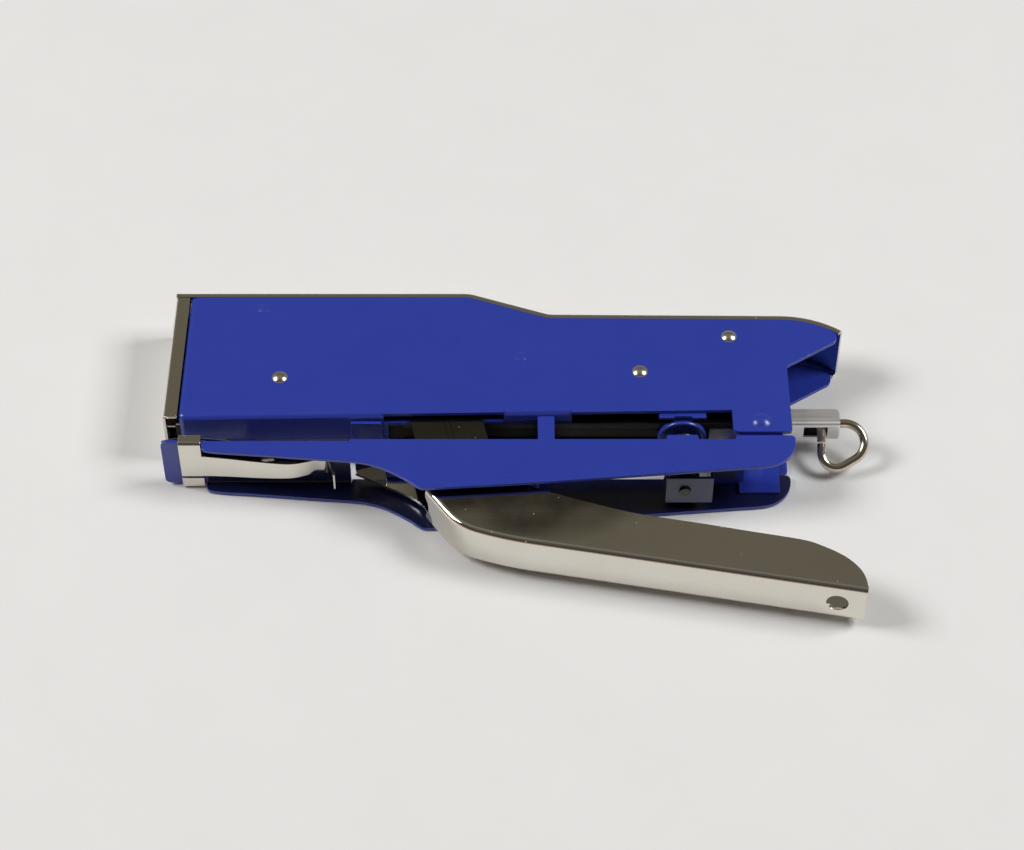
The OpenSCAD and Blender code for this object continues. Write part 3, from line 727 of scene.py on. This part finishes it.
net = Net()
net.coil((SPRING_X, -14.1, 0), (SPRING_X, -0.5, 0), 3.1, 0.55, 7.5, (1, 0, 0))
finish_mesh("opening_spring", "arm", "spring_steel", net, ["main_spring"], edge=0)
net = Net()
net.coil((64.3, 5.3, 0), (147.4, 5.3, 0), 1.4, 0.3, 46, (0, 1, 0))
finish_mesh("feed_spring", "rail", "spring_steel", net, ["pusher_spring"], edge=0)

# ---- Spring cup: a pressed disc with two narrow wings ----

CUP_COUNT = 40
cup = [(NEAR_AXIS, 0.9), (4.6, 0.9), (5.0, 0.25), (5.5, 0.25), (5.75, 0.7), (5.75, 1.5),
       (NEAR_AXIS, 1.5)]
turns = [2 * math.pi * k / CUP_COUNT for k in range(CUP_COUNT)]
net = Net()
net.loft([[(SPRING_X + r * math.cos(a), y, r * math.sin(a)) for a in turns] for r, y in cup])
for s in (-1, 1):
    net.wing([(119.4, 0.95), (123.8, 0.95), (123.8, 1.5), (119.4, 1.5)], s, 5.0, 6.9)
    net.wing([(116, 0.95), (127, 0.95), (127, 7), (116, 7)], s, 6.2, 6.9)
finish_mesh("spring_cup_disc", "body", "blue_paint", net, ["spring_cup"], edge=0.1)

# ---- CAD nodes that keep their shape ----

for name, obj in nodes.items():
    obj.data.materials.clear()
    obj.data.materials.append(mats[NODE_FINISH.get(name, slot_of[name])])
    if "custom_normal" in obj.data.attributes:
        obj.data.attributes.remove(obj.data.attributes["custom_normal"])
    weld = obj.modifiers.new("weld", "WELD")
    weld.merge_threshold = 0.000002
    round_edges(obj, 0.11, CAD_SHARP).harden_normals = True
    smooth(obj.data)

# ---- Floor, light and surroundings ----

SIDE = 4.0
floor_mesh = bpy.data.meshes.new("floor")
floor_mesh.from_pydata([(-SIDE, -SIDE, 0), (SIDE, -SIDE, 0), (SIDE, SIDE, 0), (-SIDE, SIDE, 0)], [],
                       [(0, 1, 2, 3)])
floor = bpy.data.objects.new("floor", floor_mesh)
scene.collection.objects.link(floor)
floor.location.z = -0.00002
paper, tree, shader, at = material("paper")
join(tree, shader, Roughness=0.92, Normal=bump(tree, noise(tree, at, 900.0, 3.0), 0.12, 0.0002),
     Base_Color=mix(tree, noise(tree, at, 45.0, 4.0, 0.6), 0.775, 0.815))
floor_mesh.materials.append(paper)

SOFTBOX_SIDE = 0.55
SOFTBOX_COLOUR = (1.0, 0.998, 0.992)
for name, at, power in (("softbox_left", (-1.05, 0.04, 1.05), 13.3),
                        ("softbox_right", (1.05, 0.04, 1.1), 13.7)):
    light = bpy.data.lights.new(name, "AREA")
    light.shape = "RECTANGLE"
    light.size = light.size_y = SOFTBOX_SIDE
    light.energy = power
    light.color = SOFTBOX_COLOUR
    softbox = bpy.data.objects.new(name, light)
    scene.collection.objects.link(softbox)
    softbox.location = at
    softbox.rotation_mode = "QUATERNION"
    softbox.rotation_quaternion = (-Vector(at)).to_track_quat("-Z", "Y")

# What the metal reflects: an olive room behind, and a dark one in front with a copper band low down
OLIVE = (0.150, 0.136, 0.106)
DIM = (0.045, 0.043, 0.040)
COPPER = (0.95, 0.42, 0.16)
PATCH_X, PATCH_WIDTH = 0.005, 0.045
PATCH_Z, PATCH_HEIGHT = 0.765, 0.011

world = bpy.data.worlds.new("room")
scene.world = world
world.use_nodes = True
tree = world.node_tree
tree.nodes.clear()
way = node(tree, "ShaderNodeSeparateXYZ",
           {"Vector": node(tree, "ShaderNodeTexCoord").outputs["Generated"]})
height = way.outputs["Z"]
back = ramp(tree, height, [(0.0, 0.30), (0.2, (0.22, 0.21, 0.19)), (0.55, OLIVE), (0.8, OLIVE),
                           (0.9, (0.2, 0.19, 0.17))])
front = ramp(tree, height, [(0.0, (0.42, 0.33, 0.27)), (0.02, COPPER), (0.10, (0.70, 0.34, 0.15)),
                            (0.16, (0.24, 0.22, 0.20)), (0.32, (0.20, 0.19, 0.175)), (0.45, DIM),
                            (0.6, DIM), (0.85, (0.10, 0.095, 0.085))])
is_front = ramp(tree, maths(tree, "MULTIPLY_ADD", way.outputs["Y"], -1.0, 0.5),
                [(0.5, 0.0), (0.7, 1.0)])
# A dark patch high behind the object, as a camera or a dark wall would give
across = maths(tree, "DIVIDE", maths(tree, "SUBTRACT", way.outputs["X"], PATCH_X), PATCH_WIDTH)
upward = maths(tree, "DIVIDE", maths(tree, "SUBTRACT", height, PATCH_Z), PATCH_HEIGHT)
away = maths(tree, "SQRT", maths(tree, "ADD", maths(tree, "MULTIPLY", across, across),
                                 maths(tree, "MULTIPLY", upward, upward)))
patch = ramp(tree, maths(tree, "MULTIPLY", away, 0.5), [(0.0, 0.12), (0.35, 0.2), (0.6, 1.0)])
room = mix(tree, is_front, mix(tree, 1.0, back, patch, "MULTIPLY"), front)
background = node(tree, "ShaderNodeBackground", {"Color": room, "Strength": 1.0})
output = node(tree, "ShaderNodeOutputWorld")
tree.links.new(background.outputs[0], output.inputs[0])

scene.view_settings.view_transform = "Standard"
scene.view_settings.look = "None"
